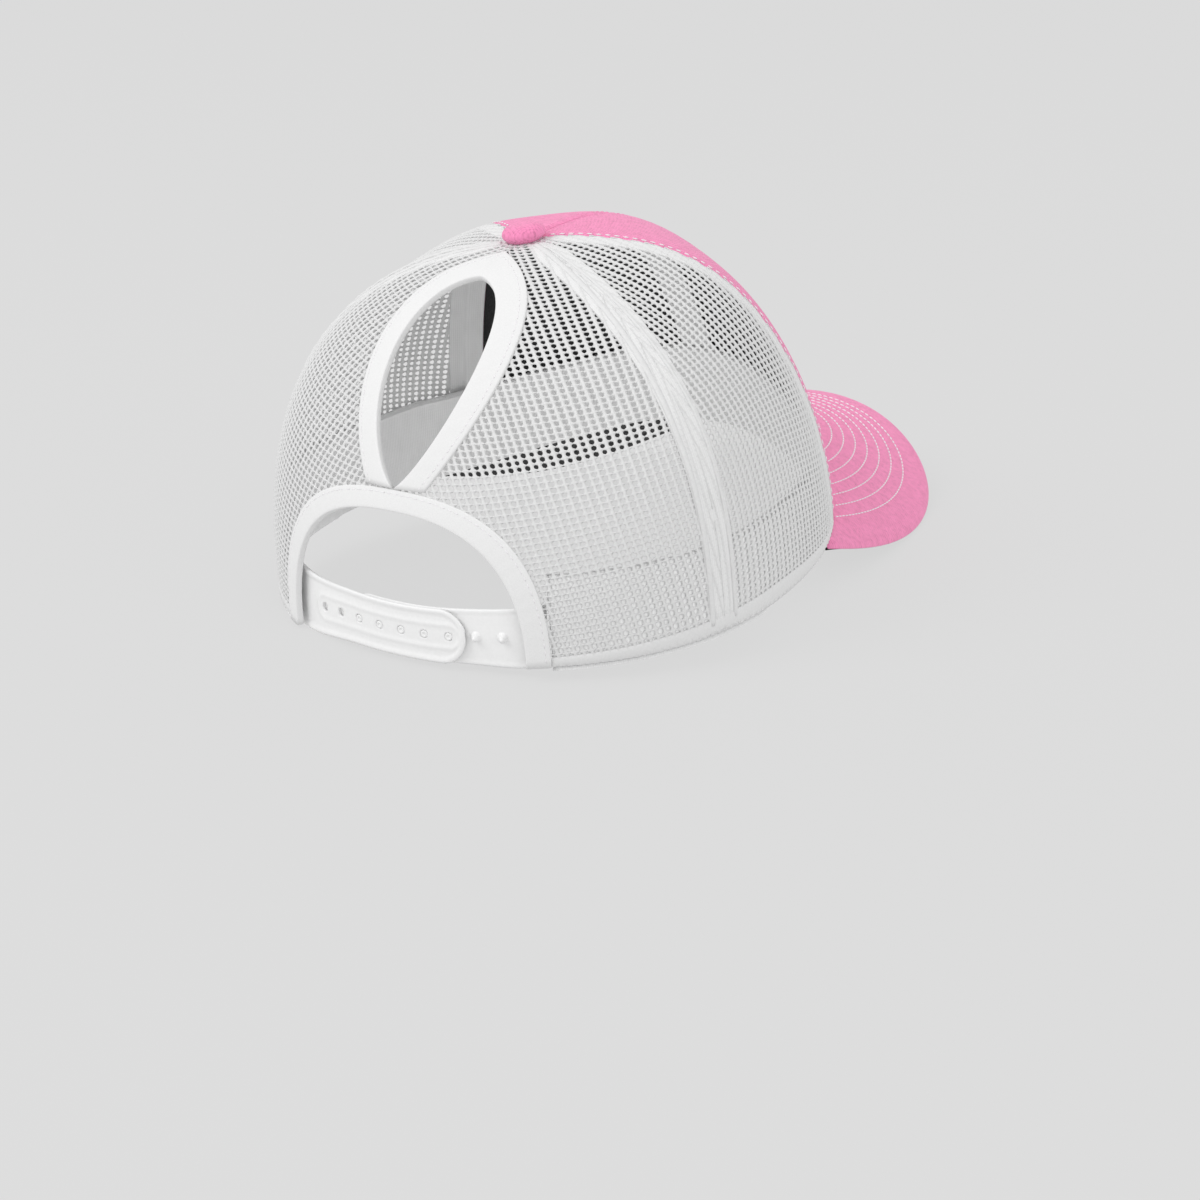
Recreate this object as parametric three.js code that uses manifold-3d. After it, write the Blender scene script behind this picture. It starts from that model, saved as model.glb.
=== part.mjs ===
// Ponytail baseball cap: six panels, a curved peak, an arch with a snap strap and a teardrop opening.
// Millimetres, +Z up. The front faces -Y and the wearer's left is +X.
// It is laid out on the rim plane (z = 0) first. At the end it is tilted as it rests on a table.
import * as THREE from 'three';
import { mergeVertices } from 'three/addons/utils/BufferGeometryUtils.js';
import Module from 'manifold-3d';

// Crown: a superellipse rim, drawn in to the button along meridians
const RIM_HALF_WIDTH = 91;
const RIM_TO_FRONT = 115.5;
const RIM_TO_BACK = 84.5;
const RIM_SQUARENESS = 2.1;
const CROWN_HEIGHT = 110.5;
const BUTTON_FORWARD = 5;
const CLOSING = { front: 1.06, side: 1.1, back: 1.16 };
const DOMING = { front: 1.27, side: 0.67, back: 0.89 };
const FRONT_RISE = 13;
const FRONT_RISE_POWER = 7;
const FRONT_SWELL = 13;
const FRONT_SWELL_HEIGHT = 1.057;
const PANEL_FLATTENING = 0.044;

// Soft cloth: the top leans to the left, and the left leg of the arch hangs a little lower
const TOP_LEAN = 6.5;
const TOP_SPREAD = 0.13;
const SAG = 3.3;
const SAG_ACROSS = [16, 50];
const SAG_BACK = [25, 68];
const SAG_HEIGHT = 48;

// Panels: azimuths of the seams from the centre front, in degrees, at the rim and at the button
const FRONT_SEAM = { rim: 50.3, top: 50.5 };
const SIDE_SEAM = { rim: 105.6, top: 111 };
const PANEL_TOP = 0.975;
const CLOTH = 1.2;
const GAP = 0.3;

// Inside: tapes over the seams, lining behind the front, and the sweatband
const TAPE_WIDTH = 12.6;
const TAPE_TOP = 0.95;
const TAPE_THICK = 1;
const TAPE_FAN = 22;
const LINING_THICK = 1;
const BAND_HEIGHT = 30;
const BAND_THICK = 1.5;
const BAND_GAP = 0.6;
const BAND_LIP = 3.4;

// Openings at the back, in millimetres across and up the centre back
const ARCH = { halfWidth: 45.7, height: 46.9, power: 2.2, binding: 6.8 };
const TEARDROP_INNER = { top: 131, halfWidth: 16.5, taper: 0.8, round: 0.65 };
const TEARDROP_OUTER = { foot: 40, top: 146, halfWidth: 25.7, taper: 1, round: 0.9 };
const BINDING_THICK = 1;
const BINDING_GAP = 0.45;
const BINDING_BITE = 1.3;

// Peak
const PEAK_AZIMUTH = 58.9;
const PEAK_LENGTH = 77.8;
const PEAK_SQUARENESS = 2.59;
const PEAK_SLOPE = 0.231;
const PEAK_DROOP = 16.4;
const PEAK_TOP_THICK = 1.3;
const PEAK_UNDER_THICK = 1;
const PEAK_SEAM = 2.4;

// Snap strap
const STRAP_HEIGHT = 18.5;
const STRAP_BELOW_RIM = 1.7;
const STRAP_THICK = 1.1;
const STRAP_TUCK = 5.8;
const STRAP_END_FLAT = 1.1;
const PEG_PITCH = 9;
const PEGS = 7;
const PEGS_FREE = 2;
const FIRST_PEG = -38.5;
const PEG_RADIUS = 1.5;
const PEG_PROUD = 1.1;
const PEG_DOME = 0.7;

// Button
const BUTTON_RADIUS = 7.4;
const BUTTON_DOME = 4.9;
const BUTTON_EDGE = 1.8;
const BUTTON_ROUND = 0.5;
const STEM_RADIUS = 1.3;
const STEM_LENGTH = 3;

// Depths below the outer face of the panels, layer by layer
const TAPE_DEPTH = CLOTH + GAP;
const BAND_DEPTH = TAPE_DEPTH + TAPE_THICK + BAND_GAP;

const { degToRad, lerp, clamp, smoothstep } = THREE.MathUtils;
const HALF_TURN = Math.PI;
const QUARTER_TURN = Math.PI / 2;

const twill = new THREE.MeshStandardMaterial({ color: 0xf79cc3, roughness: 0.85 });
const mesh = new THREE.MeshStandardMaterial({ color: 0xe9e9e9, roughness: 0.8 });
const tape = new THREE.MeshStandardMaterial({ color: 0xdcdcdc, roughness: 0.85 });
const binding = new THREE.MeshStandardMaterial({ color: 0xf4f4f4, roughness: 0.8 });
const lining = new THREE.MeshStandardMaterial({ color: 0x202020, roughness: 0.9 });
const plastic = new THREE.MeshStandardMaterial({ color: 0xf2f2f2, roughness: 0.45 });

// Fineness of the model
const HALVINGS = 40;
const LENGTH_STEPS = 200;
const CLIMB_STEPS = 13;
const CLIMB_SPACING = 1.4;
const FRONT_COLUMNS = 6;
const SIDE_COLUMNS = 5;
const BACK_COLUMNS = 6;
const ARCH_STEPS = 12;
const TEARDROP_STEPS = 16;
const STEPS_ABOVE_TEARDROP = 3;
const BAND_ROWS = 3;
const BAND_COLUMNS = 42;
const PEAK_ROWS = 5;
const PEAK_COLUMNS = 26;
const STRAP_STEPS = 8;
const STRAP_END_STEPS = 4;
const PIN_SIDES = 10;
const BUTTON_STEPS = 6;
const BUTTON_SIDES = 18;

// Value at an azimuth of a quantity given at the front, side and back
function around(azimuth, { front, side, back }) {
  const c = Math.cos(azimuth);
  return side + ((c > 0 ? front : back) - side) * c * c;
}

function rimRadius(azimuth) {
  const across = Math.abs(Math.sin(azimuth)) / RIM_HALF_WIDTH;
  const along = Math.abs(Math.cos(azimuth)) / (Math.cos(azimuth) > 0 ? RIM_TO_FRONT : RIM_TO_BACK);
  return (across ** RIM_SQUARENESS + along ** RIM_SQUARENESS) ** (-1 / RIM_SQUARENESS);
}

function rimHeight(azimuth) {
  return FRONT_RISE * Math.max(Math.cos(azimuth), 0) ** FRONT_RISE_POWER;
}

// Azimuth of a seam, given at the rim and the top, at climb t
function seamAzimuth(seam, t) {
  return degToRad(lerp(seam.rim, seam.top, t * t));
}

// 0 at a seam and 1 in the middle of a panel
function panelMiddle(azimuth, t) {
  const turn = Math.abs(Math.atan2(Math.sin(azimuth), Math.cos(azimuth)));
  const edges = [0, seamAzimuth(FRONT_SEAM, t), seamAzimuth(SIDE_SEAM, t), HALF_TURN];
  const next = Math.max(1, edges.findIndex((edge) => turn <= edge));
  return Math.sin(HALF_TURN * (turn - edges[next - 1]) / (edges[next] - edges[next - 1])) ** 2;
}

// Outer face of the crown: azimuth from the centre front, climb t from 0 at the rim to 1 at the button
function crownFace(azimuth, t) {
  const climb = clamp(t, 0, 1) * QUARTER_TURN;
  const drawn = Math.max(Math.cos(climb), 0) ** around(azimuth, CLOSING);
  const rise = Math.sin(climb) ** around(azimuth, DOMING);
  const swell = Math.sin(HALF_TURN * clamp(t, 0, 1) ** FRONT_SWELL_HEIGHT) ** 2;
  const low = rimHeight(azimuth);
  const flattened = 1 - PANEL_FLATTENING * panelMiddle(azimuth, t) * Math.sin(climb);
  const radius = rimRadius(azimuth) * drawn * flattened;
  const across = radius * Math.sin(azimuth);
  const forward = radius * Math.cos(azimuth);
  const atButton = Math.exp(-(((1 - clamp(t, 0, 1)) / TOP_SPREAD) ** 2));
  const height = low + (CROWN_HEIGHT - low) * rise
    + FRONT_SWELL * Math.max(Math.cos(azimuth), 0) * swell
    - atButton * Math.tan(degToRad(TOP_LEAN)) * across;
  const hanging = smoothstep(across, ...SAG_ACROSS) * smoothstep(-forward, ...SAG_BACK);
  const sag = SAG * hanging * (1 - smoothstep(height, 0, SAG_HEIGHT));
  return new THREE.Vector3(
    across,
    -forward - BUTTON_FORWARD * (1 - drawn),
    height - sag + CROWN_HEIGHT * Math.min(t, 0),
  );
}

// A point of a crown layer, its depth measured inwards from the outer face
function crownPoint(azimuth, t, depth) {
  const step = 1e-3;
  const along = crownFace(azimuth + step, t).sub(crownFace(azimuth - step, t));
  const up = crownFace(azimuth, t + step).sub(crownFace(azimuth, t - step));
  const outward = along.cross(up).normalize();
  return crownFace(azimuth, t).addScaledVector(outward, -depth);
}

// Solves rising(value) = target between two limits
function solve(rising, target, low, high) {
  for (let i = 0; i < HALVINGS; i += 1) {
    const middle = (low + high) / 2;
    if (rising(middle) < target) low = middle;
    else high = middle;
  }
  return (low + high) / 2;
}

// Climb of a point on the centre back, from its length up the cloth
const backLengths = [0];
for (let i = 1; i <= LENGTH_STEPS; i += 1) {
  const below = crownFace(HALF_TURN, (i - 1) / LENGTH_STEPS);
  const step = crownFace(HALF_TURN, i / LENGTH_STEPS).distanceTo(below);
  backLengths.push(backLengths[i - 1] + step);
}
function backClimb(length) {
  if (length < 0) return length / CROWN_HEIGHT;
  const i = clamp(backLengths.findIndex((value) => value >= length), 1, LENGTH_STEPS);
  const share = (length - backLengths[i - 1]) / (backLengths[i] - backLengths[i - 1]);
  return (i - 1 + share) / LENGTH_STEPS;
}

// Azimuth of a point at the back, from its distance across (+ to the wearer's left) and its climb
function backAzimuth(across, t) {
  const turn = solve((value) => crownFace(HALF_TURN - value, t).x, Math.abs(across), 0, QUARTER_TURN);
  return HALF_TURN - Math.sign(across) * turn;
}

function backPoint(across, length, depth) {
  const t = backClimb(length);
  return crownPoint(backAzimuth(across, t), t, depth);
}

// A closed mesh from points and polygons, with its faces turned outwards
function closedGeometry(points, triangles) {
  const signedVolume = triangles.reduce((sum, [a, b, c]) => (
    sum + points[a].dot(new THREE.Vector3().crossVectors(points[b], points[c]))), 0);
  const facing = triangles.map(([a, b, c]) => (signedVolume < 0 ? [a, c, b] : [a, b, c]));
  const geometry = new THREE.BufferGeometry().setFromPoints(points);
  geometry.setIndex(facing.flat());
  return geometry;
}

function quad(a, b, c, d) {
  return [[a, b, c], [a, c, d]];
}

// Sheet of cloth: rows and columns of points on two faces, closed round its edge
function sheetGeometry(rows, columns, facePoint) {
  const points = [];
  for (const face of [0, 1]) {
    for (let j = 0; j <= rows; j += 1) {
      for (let i = 0; i <= columns; i += 1) points.push(facePoint(i, j, face));
    }
  }
  const size = (rows + 1) * (columns + 1);
  const at = (i, j, face) => face * size + j * (columns + 1) + i;
  const triangles = [];
  for (let j = 0; j < rows; j += 1) {
    for (let i = 0; i < columns; i += 1) {
      triangles.push(...quad(at(i, j, 0), at(i + 1, j, 0), at(i + 1, j + 1, 0), at(i, j + 1, 0)));
      triangles.push(...quad(at(i, j, 1), at(i, j + 1, 1), at(i + 1, j + 1, 1), at(i + 1, j, 1)));
    }
    triangles.push(...quad(at(0, j, 0), at(0, j + 1, 0), at(0, j + 1, 1), at(0, j, 1)));
    const last = [at(columns, j, 1), at(columns, j + 1, 1), at(columns, j + 1, 0), at(columns, j, 0)];
    triangles.push(...quad(...last));
  }
  for (let i = 0; i < columns; i += 1) {
    triangles.push(...quad(at(i, 0, 1), at(i + 1, 0, 1), at(i + 1, 0, 0), at(i, 0, 0)));
    triangles.push(...quad(at(i, rows, 0), at(i + 1, rows, 0), at(i + 1, rows, 1), at(i, rows, 1)));
  }
  return closedGeometry(points, triangles);
}

// Layer of the crown, from the azimuths of its columns at each climb
function crownLayer({ climbs, azimuths, depth, thick, side = 1 }) {
  const grid = climbs.map((t, row) => azimuths(t, row));
  return sheetGeometry(climbs.length - 1, grid[0].length - 1, (column, row, face) => (
    crownPoint(side * grid[row][column], climbs[row], depth + face * thick)));
}

function evenly(from, to, steps) {
  return Array.from({ length: steps + 1 }, (_, i) => lerp(from, to, i / steps));
}

// Climbs shared by panels, tapes and lining, so that their facets run parallel
const tapeClimbs = evenly(0, 1, CLIMB_STEPS).map((share) => TAPE_TOP * share ** CLIMB_SPACING);
const panelClimbs = [...tapeClimbs, PANEL_TOP];

// Angle that a length round the crown takes up at an azimuth and climb
function turnOf(length, azimuth, t) {
  const edge = crownFace(azimuth, t);
  return length / Math.hypot(edge.x, edge.y + BUTTON_FORWARD);
}

// Panels and what lies behind them. A panel has a column of points along the edge of each tape.
function seamAt(seam, t) {
  return seam ? seamAzimuth(seam, t) : 0;
}

function tapeHalfTurn(azimuth, t) {
  return Math.min(turnOf(TAPE_WIDTH / 2, azimuth, t), degToRad(TAPE_FAN));
}

// Azimuths from one seam, past the edge of its tape, to the edge of the next tape
function fromSeam(seam, next, t, steps, clearance = 0) {
  const start = seamAt(seam, t);
  const end = seamAt(next, t);
  const last = end - tapeHalfTurn(end, t) - turnOf(clearance, end, t);
  return [start + turnOf(GAP / 2, start, t), ...evenly(start + tapeHalfTurn(start, t), last, steps)];
}

function panelBetween(seam, next, steps, side) {
  const edge = (t) => seamAt(next, t) - turnOf(GAP / 2, seamAt(next, t), t);
  return crownLayer({
    climbs: panelClimbs, side, depth: 0, thick: CLOTH,
    azimuths: (t) => [...fromSeam(seam, next, t, steps), edge(t)],
  });
}

function frontLining(side) {
  return crownLayer({
    climbs: tapeClimbs, side, depth: TAPE_DEPTH, thick: LINING_THICK,
    azimuths: (t) => fromSeam(null, FRONT_SEAM, t, FRONT_COLUMNS, GAP),
  });
}

function seamTape(seam, side, depth, climbs) {
  return crownLayer({
    climbs, side, depth, thick: TAPE_THICK,
    azimuths: (t) => {
      const middle = seamAt(seam, t);
      return [-1, 0, 1].map((edge) => middle + edge * tapeHalfTurn(middle, t));
    },
  });
}

// Outlines of the openings: a point [across, length up the back], from the inner edge (0) to the outer (1)
function archOutline(share, out) {
  const turn = HALF_TURN * share;
  const power = 2 / ARCH.power;
  const halfWidth = ARCH.halfWidth + out * ARCH.binding;
  const height = ARCH.height + out * ARCH.binding;
  return [halfWidth * Math.sign(Math.cos(turn)) * Math.abs(Math.cos(turn)) ** power,
    height * Math.max(Math.sin(turn), 0) ** power];
}

function teardropHalfWidth({ halfWidth, taper, round }, share) {
  const widest = taper / (taper + round);
  const full = widest ** taper * (1 - widest) ** round;
  return halfWidth * share ** taper * (1 - share) ** round / full;
}

const archTop = ARCH.height + ARCH.binding;
const teardropFoot = archTop + GAP;

function teardropOutline(share, out) {
  const climb = Math.sin(QUARTER_TURN * (1 - Math.abs(2 * share - 1)));
  const side = share < 0.5 ? 1 : -1;
  const { foot, top } = TEARDROP_OUTER;
  const outerShare = lerp((teardropFoot - foot) / (top - foot), 1, climb);
  const innerWidth = Math.max(teardropHalfWidth(TEARDROP_INNER, climb), GAP / 2);
  const outerWidth = Math.max(teardropHalfWidth(TEARDROP_OUTER, outerShare), 0);
  const onTop = share === 0.5 ? 0 : 1;
  return [onTop * side * lerp(innerWidth, outerWidth, out),
    lerp(lerp(teardropFoot, TEARDROP_INNER.top, climb), lerp(foot, top, outerShare), out)];
}

// Binding folded over the edge of the cloth: its section goes out over the panel and back underneath
function bindingGeometry(outline, steps, width) {
  const outside = -(BINDING_GAP + BINDING_THICK);
  const inside = CLOTH + BINDING_GAP + BINDING_THICK;
  const fold = BINDING_THICK / width;
  const section = [
    [0, outside + BINDING_THICK], [fold / 2, outside], [1, outside], [1, outside + BINDING_THICK],
    [fold, outside + BINDING_THICK], [fold, inside - BINDING_THICK], [1, inside - BINDING_THICK],
    [1, inside], [fold / 2, inside], [0, inside - BINDING_THICK],
  ];
  const points = [];
  for (let k = 0; k <= steps; k += 1) {
    for (const [out, depth] of section) {
      const [across, length] = outline(k / steps, out);
      points.push(backPoint(across, length, depth));
    }
  }
  const count = section.length;
  const triangles = [];
  for (let k = 0; k < steps; k += 1) {
    for (let i = 0; i < count; i += 1) {
      const next = (i + 1) % count;
      triangles.push(...quad(k * count + i, k * count + next, (k + 1) * count + next, (k + 1) * count + i));
    }
  }
  const flat = section.map(([out, depth]) => new THREE.Vector2(out * width, depth));
  for (const [a, b, c] of THREE.ShapeUtils.triangulateShape(flat, [])) {
    const clockwise = THREE.ShapeUtils.isClockWise([flat[a], flat[b], flat[c]]);
    const [p, q, r] = clockwise === THREE.ShapeUtils.isClockWise(flat) ? [a, b, c] : [a, c, b];
    triangles.push([p, r, q], [steps * count + p, steps * count + q, steps * count + r]);
  }
  return closedGeometry(points, triangles);
}

// Back panels end in the fold of the bindings, and meet at the centre back elsewhere
function backMesh(side) {
  const bite = BINDING_BITE / ARCH.binding;
  const teardropTop = teardropOutline(0.5, bite)[1];
  const panelTop = backLengths[LENGTH_STEPS] * PANEL_TOP;
  const edge = [
    ...evenly(0, 0.5, ARCH_STEPS).map((share) => archOutline(share, bite)),
    ...evenly(0, 0.5, TEARDROP_STEPS).map((share) => teardropOutline(share, bite)),
    ...evenly(teardropTop, panelTop, STEPS_ABOVE_TEARDROP).slice(1).map((length) => [0, length]),
  ];
  return crownLayer({
    climbs: edge.map(([, length]) => backClimb(length)), side, depth: 0, thick: CLOTH,
    azimuths: (t, row) => {
      const start = seamAzimuth(SIDE_SEAM, t);
      const end = backAzimuth(Math.max(edge[row][0], GAP / 2), t);
      const first = start + tapeHalfTurn(start, t);
      const last = end - Math.min(turnOf(ARCH.binding, end, t), (end - first) / 3);
      return [start + turnOf(GAP / 2, start, t), ...evenly(first, last, BACK_COLUMNS), end];
    },
  });
}

// Sweatband: round the inside of the rim, from one leg of the arch to the other
function sweatband() {
  const legs = backAzimuth(ARCH.halfWidth + ARCH.binding + GAP, 0);
  return sheetGeometry(BAND_ROWS + 1, BAND_COLUMNS, (column, row, face) => {
    const azimuth = lerp(-legs, legs, column / BAND_COLUMNS);
    const lip = BAND_LIP * Math.max(Math.cos(azimuth), 0);
    const height = crownFace(azimuth, 0).z + BAND_HEIGHT * (row - 1) / BAND_ROWS;
    const t = row ? solve((value) => crownFace(azimuth, value).z, height, 0, 0.6) : -lip / CROWN_HEIGHT;
    return crownPoint(azimuth, t, BAND_DEPTH + face * BAND_THICK);
  });
}

// The centre tape starts just above the sweatband
const tapeFoot = solve((t) => crownFace(0, t).z, FRONT_RISE + BAND_HEIGHT + GAP, 0, 0.6);
const centreClimbs = [tapeFoot, ...tapeClimbs.filter((t) => t > tapeFoot)];

// Peak: one layer of it, from the seam under the front panels to its outer edge
function peakCorner() {
  return crownFace(degToRad(PEAK_AZIMUTH), 0);
}

function peakHeight(x, y, azimuth) {
  const out = Math.max(crownFace(azimuth, 0).y - y, 0);
  return rimHeight(azimuth) - PEAK_SLOPE * out - PEAK_DROOP * (x / RIM_HALF_WIDTH) ** 2 * out / PEAK_LENGTH;
}

function peakLayer(depth, thick) {
  const corner = peakCorner();
  const reach = RIM_TO_FRONT + PEAK_LENGTH + corner.y;
  return sheetGeometry(PEAK_ROWS, PEAK_COLUMNS, (column, row, face) => {
    const share = column / PEAK_COLUMNS;
    const turn = lerp(-QUARTER_TURN, QUARTER_TURN, share);
    const power = 2 / PEAK_SQUARENESS;
    const outerX = corner.x * Math.sign(turn) * Math.abs(Math.sin(turn)) ** power;
    const outerY = corner.y - reach * Math.max(Math.cos(turn), 0) ** power;
    const innerAzimuth = degToRad(lerp(-PEAK_AZIMUTH, PEAK_AZIMUTH, share));
    const inner = crownPoint(innerAzimuth, 0, PEAK_SEAM);
    const x = lerp(inner.x, outerX, row / PEAK_ROWS);
    const y = lerp(inner.y, outerY, row / PEAK_ROWS);
    const above = solve((value) => crownFace(value, 0).x, Math.abs(x), 0, QUARTER_TURN);
    const azimuth = row ? above : innerAzimuth;
    return new THREE.Vector3(x, y, peakHeight(x, y, azimuth) - GAP - depth - face * thick);
  });
}

// Booleans on closed meshes
const wasm = await Module();
wasm.setup();

function toSolid(geometry) {
  const bare = geometry.clone();
  bare.deleteAttribute('normal');
  bare.deleteAttribute('uv');
  const merged = mergeVertices(bare, 1e-4);
  return new wasm.Manifold(new wasm.Mesh({
    numProp: 3,
    vertProperties: Float32Array.from(merged.attributes.position.array),
    triVerts: Uint32Array.from(merged.index.array),
  }));
}

function fromSolid(solid) {
  const result = solid.getMesh();
  const geometry = new THREE.BufferGeometry();
  geometry.setAttribute('position', new THREE.BufferAttribute(result.vertProperties, result.numProp));
  geometry.setIndex(new THREE.BufferAttribute(result.triVerts, 1));
  return geometry;
}

// Snap strap: two curved strips with round ends, one with holes and one with pegs
const strapMiddle = STRAP_HEIGHT / 2 - STRAP_BELOW_RIM;
const strapReach = ARCH.halfWidth + STRAP_TUCK;
const lastEngaged = FIRST_PEG + PEG_PITCH * PEGS_FREE;
const strapLeftEnd = lastEngaged - PEG_PITCH * 2 / 3;
const strapRightEnd = FIRST_PEG + PEG_PITCH * (PEGS - 1) + PEG_PITCH / 2;
const underDepth = BAND_DEPTH + STRAP_THICK + GAP;

function strapRightDepth(across) {
  return lerp(BAND_DEPTH, underDepth, smoothstep(across, -ARCH.halfWidth, strapLeftEnd));
}

// Strip from its tucked end to its round end, at a depth that may change along it
function strapStrip(tucked, tip, depthAt) {
  const radius = STRAP_HEIGHT / 2;
  const towards = Math.sign(tip - tucked);
  const lastTurn = QUARTER_TURN - STRAP_END_FLAT / radius;
  const straight = evenly(tucked, tip - towards * radius, STRAP_STEPS);
  const round = evenly(0, lastTurn, STRAP_END_STEPS).slice(1).map((turn) => (
    tip - towards * radius * (1 - Math.sin(turn))));
  const stations = [...straight, ...round];
  return sheetGeometry(stations.length - 1, 2, (column, row, face) => {
    const across = stations[row];
    const past = Math.max(towards * (across - tip) + radius, 0);
    const half = Math.sqrt(radius ** 2 - past ** 2);
    return backPoint(across, strapMiddle + (column - 1) * half, depthAt(across) + face * STRAP_THICK);
  });
}

// Round pin through the strap at a distance across, from one depth to another, with an optional domed end
function strapPin(across, fromDepth, toDepth, radius, domed) {
  const start = backPoint(across, strapMiddle, fromDepth);
  const end = backPoint(across, strapMiddle, toDepth);
  const length = start.distanceTo(end);
  const profile = [[0, 0], [radius, 0]];
  if (domed) profile.push([radius, length - radius / 2], [radius * PEG_DOME, length - radius / 6]);
  else profile.push([radius, length]);
  profile.push([0, length]);
  const pin = new THREE.LatheGeometry(profile.map(([x, y]) => new THREE.Vector2(x, y)), PIN_SIDES);
  const axis = end.clone().sub(start).normalize();
  pin.applyQuaternion(new THREE.Quaternion().setFromUnitVectors(new THREE.Vector3(0, 1, 0), axis));
  return pin.translate(start.x, start.y, start.z);
}

function strapLeft() {
  let solid = toSolid(strapStrip(strapReach, strapLeftEnd, () => BAND_DEPTH));
  for (let i = 0; i < PEGS; i += 1) {
    const across = lastEngaged + i * PEG_PITCH;
    solid = solid.subtract(toSolid(strapPin(
      across, BAND_DEPTH + STRAP_THICK + GAP, BAND_DEPTH - GAP, PEG_RADIUS + GAP, false)));
  }
  return fromSolid(solid);
}

function strapRight() {
  let solid = toSolid(strapStrip(-strapReach, strapRightEnd, strapRightDepth));
  for (let i = 0; i < PEGS; i += 1) {
    const across = FIRST_PEG + i * PEG_PITCH;
    const face = strapRightDepth(across);
    const height = STRAP_THICK + GAP + PEG_PROUD;
    solid = solid.add(toSolid(strapPin(across, face + STRAP_THICK / 2, face - height, PEG_RADIUS, true)));
  }
  return fromSolid(solid);
}

// Button: a dome on the top of the crown, with a stem through the middle of the panels
function button() {
  const stem = [[0, -STEM_LENGTH], [STEM_RADIUS, -STEM_LENGTH], [STEM_RADIUS, GAP], [BUTTON_RADIUS, GAP]];
  const cover = evenly(0, QUARTER_TURN, BUTTON_STEPS).slice(1, -1).map((turn) => [
    BUTTON_RADIUS * Math.cos(turn) ** BUTTON_ROUND,
    GAP + BUTTON_EDGE + (BUTTON_DOME - BUTTON_EDGE) * Math.sin(turn),
  ]);
  const profile = [...stem, ...cover, [0, GAP + BUTTON_DOME]];
  const dome = new THREE.LatheGeometry(profile.map(([x, y]) => new THREE.Vector2(x, y)), BUTTON_SIDES);
  dome.rotateX(QUARTER_TURN).rotateY(degToRad(TOP_LEAN));
  return dome.translate(0, -BUTTON_FORWARD, CROWN_HEIGHT);
}

// The cap, piece by piece
const cap = new THREE.Group();

function addPiece(name, geometry, material) {
  const piece = new THREE.Mesh(geometry, material);
  piece.name = name;
  cap.add(piece);
  return piece;
}

for (const [word, side] of [['left', 1], ['right', -1]]) {
  addPiece(`front_panel_${word}`, panelBetween(null, FRONT_SEAM, FRONT_COLUMNS, side), twill);
  addPiece(`front_lining_${word}`, frontLining(side), lining);
  addPiece(`side_mesh_${word}`, panelBetween(FRONT_SEAM, SIDE_SEAM, SIDE_COLUMNS, side), mesh);
  addPiece(`back_mesh_${word}`, backMesh(side), mesh);
  addPiece(`tape_front_${word}`, seamTape(FRONT_SEAM, side, TAPE_DEPTH, tapeClimbs), tape);
  addPiece(`tape_side_${word}`, seamTape(SIDE_SEAM, side, TAPE_DEPTH, tapeClimbs), tape);
}
addPiece('tape_centre_front', seamTape(null, 1, BAND_DEPTH, centreClimbs), tape);
addPiece('button', button(), twill);
addPiece('sweatband', sweatband(), tape);
addPiece('arch_binding', bindingGeometry(archOutline, 2 * ARCH_STEPS, ARCH.binding), binding);
addPiece('ponytail_binding', bindingGeometry(teardropOutline, 2 * TEARDROP_STEPS, ARCH.binding), binding);
const peakPieces = [
  addPiece('peak', peakLayer(0, PEAK_TOP_THICK), twill),
  addPiece('peak_underside', peakLayer(PEAK_TOP_THICK + GAP, PEAK_UNDER_THICK), lining),
];
const strapPieces = [
  addPiece('strap_left', strapLeft(), plastic),
  addPiece('strap_right', strapRight(), plastic),
];

// Rest: the cap tips back until the peak's sides and the strap's lower edge touch the table together
function lowest(pieces) {
  cap.updateMatrixWorld(true);
  return Math.min(...pieces.map((piece) => new THREE.Box3().setFromObject(piece, true).min.z));
}

cap.rotation.x = -solve((tilt) => {
  cap.rotation.x = -tilt;
  return lowest(peakPieces) - lowest(strapPieces);
}, 0, 0, degToRad(30));
cap.updateMatrixWorld(true);
const box = new THREE.Box3().setFromObject(cap, true);
cap.position.set(-(box.min.x + box.max.x) / 2, -(box.min.y + box.max.y) / 2, -box.min.z);

const ponytailCap = new THREE.Group();
ponytailCap.add(cap);

export default ponytailCap;
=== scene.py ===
# Ponytail baseball cap: cloth, mesh, stitching and plastic over the fixed solids
import math

import bmesh
import bpy
from mathutils import Matrix, Vector


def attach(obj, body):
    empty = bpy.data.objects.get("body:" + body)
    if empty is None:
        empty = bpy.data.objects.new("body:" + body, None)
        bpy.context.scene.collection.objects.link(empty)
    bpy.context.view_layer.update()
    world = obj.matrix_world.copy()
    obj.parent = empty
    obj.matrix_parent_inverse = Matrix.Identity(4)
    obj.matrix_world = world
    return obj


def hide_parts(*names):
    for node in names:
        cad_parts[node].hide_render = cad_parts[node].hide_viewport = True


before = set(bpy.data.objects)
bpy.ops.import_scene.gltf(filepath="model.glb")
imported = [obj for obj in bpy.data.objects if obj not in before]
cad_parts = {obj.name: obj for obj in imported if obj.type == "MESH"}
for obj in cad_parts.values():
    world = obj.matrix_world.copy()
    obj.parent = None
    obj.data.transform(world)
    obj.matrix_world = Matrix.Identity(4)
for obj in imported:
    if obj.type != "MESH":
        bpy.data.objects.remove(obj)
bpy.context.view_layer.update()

# Sizes in millimetres, as in the solids, on the rim plane with the front towards -Y
MM = 0.001
RIM_HALF_WIDTH = 91
RIM_TO_FRONT = 115.5
RIM_TO_BACK = 84.5
RIM_SQUARENESS = 2.1
CROWN_HEIGHT = 110.5
BUTTON_FORWARD = 5
CLOSING = {"front": 1.06, "side": 1.1, "back": 1.16}
DOMING = {"front": 1.27, "side": 0.67, "back": 0.89}
FRONT_RISE = 13
FRONT_RISE_POWER = 7
FRONT_SWELL = 13
FRONT_SWELL_HEIGHT = 1.057
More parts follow.
